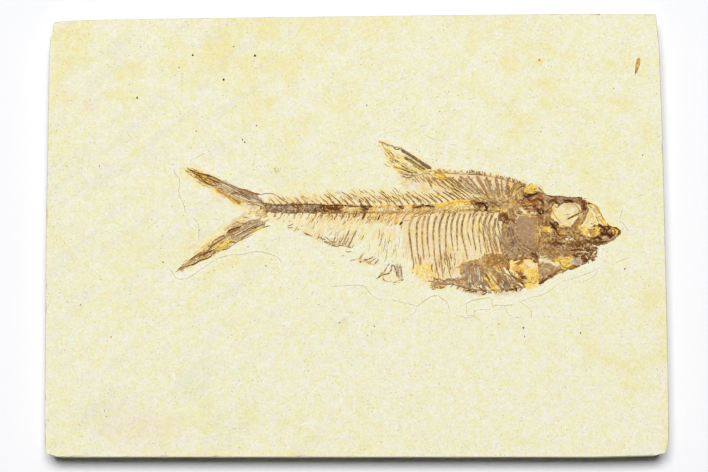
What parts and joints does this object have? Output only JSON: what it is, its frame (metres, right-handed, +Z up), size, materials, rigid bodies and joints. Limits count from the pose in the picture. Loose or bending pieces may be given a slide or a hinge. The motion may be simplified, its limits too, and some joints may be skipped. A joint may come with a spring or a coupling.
{
  "type": "fossil fish slab",
  "caption": "Flat sawn plate of pale limestone with the flattened, dark brown skeleton of a small fish lying in its top face; it lies on a desk or shelf.",
  "frame": {"origin": "under the middle of the slab, on the flat underside that it rests on", "axes": "+X along the slab's long edge towards the fish's snout, +Y from the fish's belly towards its back, +Z up out of the face that holds the fish"},
  "size_m": [0.1674, 0.1208, 0.0101],
  "materials": {
    "limestone": "matt, fine grained, cream with yellow and grey-lilac clouds and fine dark specks",
    "brown_bone": "mineralised bone, brown, slightly waxy, crumbling to cream and orange",
    "grey_bone": "thin mineralised bone, grey-brown, slightly waxy",
    "dark_bone": "thick mineralised bone, near-black brown, waxy",
    "orange_bone": "iron-stained bone, gold to orange"
  },
  "bodies": {
    "root": {"anal_fin_front": "brown_bone", "anal_fin_rear": "brown_bone", "back_scutes": "dark_bone", "backbone": "brown_bone", "belly_crust": "brown_bone", "belly_scutes": "brown_bone", "braincase": "dark_bone", "breast_knob": "dark_bone", "breast_plate": "orange_bone", "cheek_plate": "brown_bone", "crest_bone": "orange_bone", "dorsal_fin": "grey_bone", "eye_socket_bar": "brown_bone", "fin_support_1": "brown_bone", "fin_support_2": "brown_bone", "fin_support_3": "brown_bone", "fin_support_4": "brown_bone", "fin_support_5": "brown_bone", "fin_support_6": "brown_bone", "gill_cover": "grey_bone", "lower_jaw": "dark_bone", "nape_blade_1": "grey_bone", "nape_blade_2": "grey_bone", "nape_blade_3": "grey_bone", "nape_blade_4": "grey_bone", "nape_blade_5": "grey_bone", "nape_blade_6": "grey_bone", "nape_blade_7": "grey_bone", "nape_blade_8": "grey_bone", "nape_plate": "grey_bone", "pectoral_fin": "grey_bone", "pelvic_fin": "grey_bone", "rib_01": "brown_bone", "rib_02": "brown_bone", "rib_03": "brown_bone", "rib_04": "brown_bone", "rib_05": "brown_bone", "rib_06": "brown_bone", "rib_07": "brown_bone", "rib_08": "brown_bone", "rib_09": "brown_bone", "rib_10": "brown_bone", "rib_11": "brown_bone", "rib_12": "brown_bone", "rib_13": "brown_bone", "rib_14": "brown_bone", "rib_15": "brown_bone", "rib_16": "brown_bone", "shoulder_girdle": "grey_bone", "shoulder_knob": "dark_bone", "skull_roof": "dark_bone", "slab": "limestone", "snout_ridge": "orange_bone", "stray_scale": "orange_bone", "tail_base": "orange_bone", "tail_fin_lower": "brown_bone", "tail_fin_upper": "brown_bone", "throat_plate": "grey_bone", "upper_jaw": "dark_bone"}
  },
  "joints": []
}
